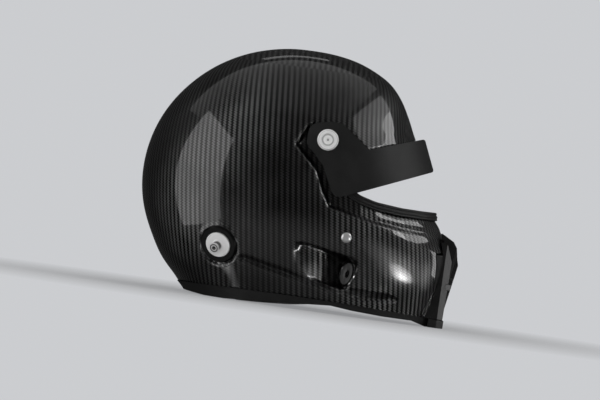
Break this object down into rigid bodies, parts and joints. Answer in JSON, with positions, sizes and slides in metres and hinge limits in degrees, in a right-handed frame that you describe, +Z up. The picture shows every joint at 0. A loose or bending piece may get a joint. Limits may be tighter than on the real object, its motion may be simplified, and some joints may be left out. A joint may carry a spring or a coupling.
{
  "type": "auto racing helmet",
  "caption": "Full-face motor-racing helmet with a carbon shell, a sun peak that tilts on side screws, a sliding chin vent, tether posts, padded lining and a ring-fastened chin strap.",
  "frame": {"origin": "on the table the helmet stands on, under the middle of its length and width", "axes": "+X out through the face, +Y to the wearer's left, +Z up through the crown"},
  "size_m": [0.3319, 0.2461, 0.2606],
  "materials": {
    "carbon": "woven carbon under clear coat",
    "trim_rubber": "semi-matte",
    "vent_plastic": "glossy moulded",
    "grille_plastic": "satin moulded",
    "shutter_plastic": "satin moulded",
    "foam": "beaded foam",
    "pad_fabric": "brushed fabric over foam",
    "roll_fabric": "soft leatherette",
    "peak_plastic": "satin moulded",
    "webbing": "woven",
    "snap_plastic": "satin",
    "ring_steel": "polished",
    "base_plastic": "satin",
    "washer_nylon": "satin",
    "screw_silver": "turned, satin",
    "nut_steel": "zinc plated",
    "washer_black": "black anodised",
    "post_silver": "turned",
    "bezel_black": "polished",
    "socket_plastic": "matte",
    "rivet_silver": "domed",
    "hanger_steel": "plated"
  },
  "bodies": {
    "helmet": {"outer_shell": "carbon", "eyeport_trim": "trim_rubber", "neck_trim": "trim_rubber", "vent_frame": "vent_plastic", "vent_grille": "grille_plastic", "crown_liner": "foam", "chin_liner": "foam", "crown_pad": "pad_fabric", "brow_pad": "pad_fabric", "neck_roll": "roll_fabric", "strap_left": "webbing", "strap_right": "webbing", "strap_snap": "snap_plastic", "cheek_pad_left": "pad_fabric", "cheek_pad_right": "pad_fabric", "pivot_base_left": "base_plastic", "pivot_base_right": "base_plastic", "pivot_washer_left": "washer_nylon", "pivot_washer_right": "washer_nylon", "pivot_screw_left": "screw_silver", "pivot_screw_right": "screw_silver", "pivot_nut_left": "nut_steel", "pivot_nut_right": "nut_steel", "anchor_washer_left": "washer_black", "anchor_washer_right": "washer_black", "anchor_post_left": "post_silver", "anchor_post_right": "post_silver", "anchor_nut_left": "nut_steel", "anchor_nut_right": "nut_steel", "port_bezel_left": "bezel_black", "port_bezel_right": "bezel_black", "port_socket_left": "socket_plastic", "port_socket_right": "socket_plastic", "strap_rivet_left": "rivet_silver", "strap_rivet_right": "rivet_silver", "strap_hanger_left": "hanger_steel", "strap_hanger_right": "hanger_steel", "strap_pad_left": "roll_fabric", "strap_pad_right": "roll_fabric"},
    "peak": {"peak": "peak_plastic"},
    "vent_slider": {"vent_shutter": "shutter_plastic"},
    "outer_ring": {"d_ring_outer": "ring_steel"},
    "inner_ring": {"d_ring_inner": "ring_steel"}
  },
  "joints": [
    {"name": "peak_tilt", "type": "hinge", "parent": "helmet", "child": "peak", "pos_m": [0.016, 0, 0.17226], "axis": [0, -1, 0], "range_deg": [-6, 40]},
    {"name": "vent_slide", "type": "slide", "parent": "helmet", "child": "vent_slider", "axis": [0, 1, 0], "range_m": [0, 0.007]},
    {"name": "outer_ring_swing", "type": "hinge", "parent": "helmet", "child": "outer_ring", "pos_m": [0.03431, -0.04798, 0.03299], "axis": [-0.9789, -0.2043, 0], "range_deg": [-35, 35]},
    {"name": "inner_ring_swing", "type": "hinge", "parent": "helmet", "child": "inner_ring", "pos_m": [0.03329, -0.04308, 0.03299], "axis": [-0.9789, -0.2043, 0], "range_deg": [-35, 35]}
  ],
  "couplings": [
    {"joint": "inner_ring_swing", "follows": "outer_ring_swing", "ratio": 1}
  ]
}
